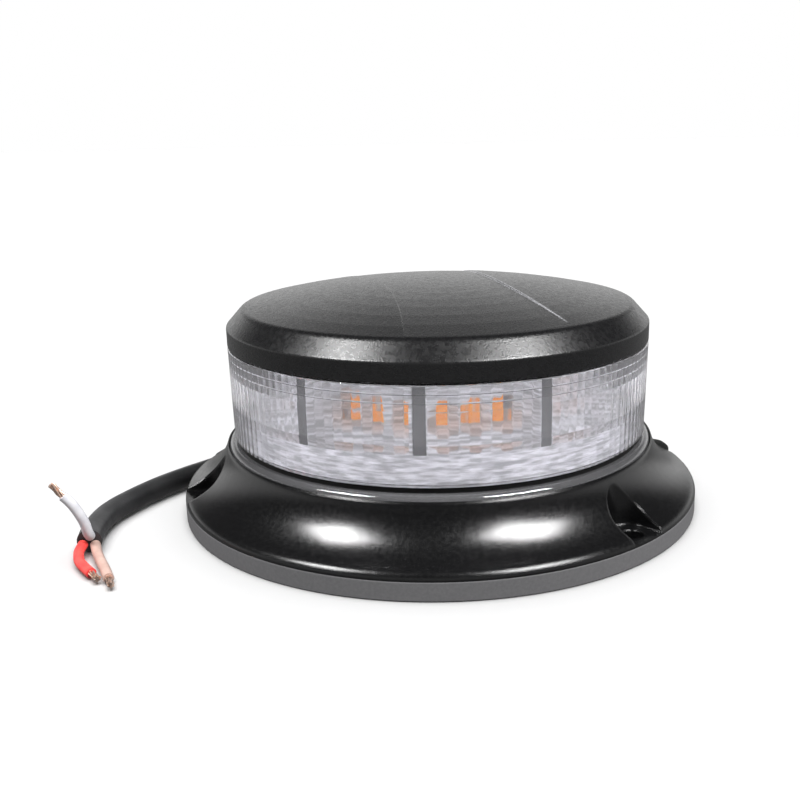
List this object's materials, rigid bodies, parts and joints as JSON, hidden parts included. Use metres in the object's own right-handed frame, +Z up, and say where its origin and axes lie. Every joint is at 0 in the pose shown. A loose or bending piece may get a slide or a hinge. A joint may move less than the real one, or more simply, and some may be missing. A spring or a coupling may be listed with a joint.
{
  "type": "LED warning beacon",
  "caption": "Low-profile flange-mounted LED warning beacon with clear lens, black base and cap, and short flying lead.",
  "frame": {"origin": "centre of the round base, on the mounting surface under the rubber pad", "axes": "+Z up the beacon's axis towards the cap; +X through the spare (plugged) fixing hole"},
  "size_m": [0.1709, 0.14, 0.0603],
  "materials": {
    "pad_rubber": "matte",
    "black_plastic": "satin",
    "cap_plastic": "matte, fine grain",
    "seal_rubber": "matte",
    "clear_plastic": "clear, polished",
    "reflector_plastic": "vacuum-metallised",
    "post_plastic": "satin",
    "led_amber": "glossy",
    "board_white": "satin",
    "board_green": "satin",
    "cast_aluminium": "satin",
    "sheet_steel": "zinc plated",
    "screw_steel": "zinc plated",
    "turned_brass": "machined",
    "chip_black": "matte",
    "capacitor_sleeve": "satin",
    "terminal_plastic": "satin",
    "tie_nylon": "satin",
    "cable_sheath": "satin",
    "core_white_pvc": "satin",
    "core_red_pvc": "satin",
    "core_brown_pvc": "satin",
    "bare_copper": "bright stranded"
  },
  "bodies": {
    "root": {"base_pad": "pad_rubber", "base_housing": "black_plastic", "base_plate": "sheet_steel", "plate_gasket": "seal_rubber", "plate_screws": "screw_steel", "vent_plug": "seal_rubber", "cable_gland": "seal_rubber", "cable_tie": "tie_nylon", "spare_hole_plug": "seal_rubber", "lens": "clear_plastic", "lens_gasket": "seal_rubber", "groove_seal": "seal_rubber", "heat_sink": "cast_aluminium", "led_boards": "board_white", "leds": "led_amber", "reflectors": "reflector_plastic", "reflector_posts": "post_plastic", "driver_board": "board_green", "board_standoffs": "turned_brass", "board_screws": "screw_steel", "capacitors": "capacitor_sleeve", "inductor": "chip_black", "driver_chips": "chip_black", "wire_terminal": "terminal_plastic", "tie_screws": "screw_steel", "top_cap": "cap_plastic", "cap_inserts": "turned_brass", "cap_seal": "seal_rubber", "inner_wires": "core_red_pvc", "cable": "cable_sheath", "core_white": "core_white_pvc", "core_red": "core_red_pvc", "core_brown": "core_brown_pvc", "core_strands": "bare_copper"}
  },
  "joints": []
}
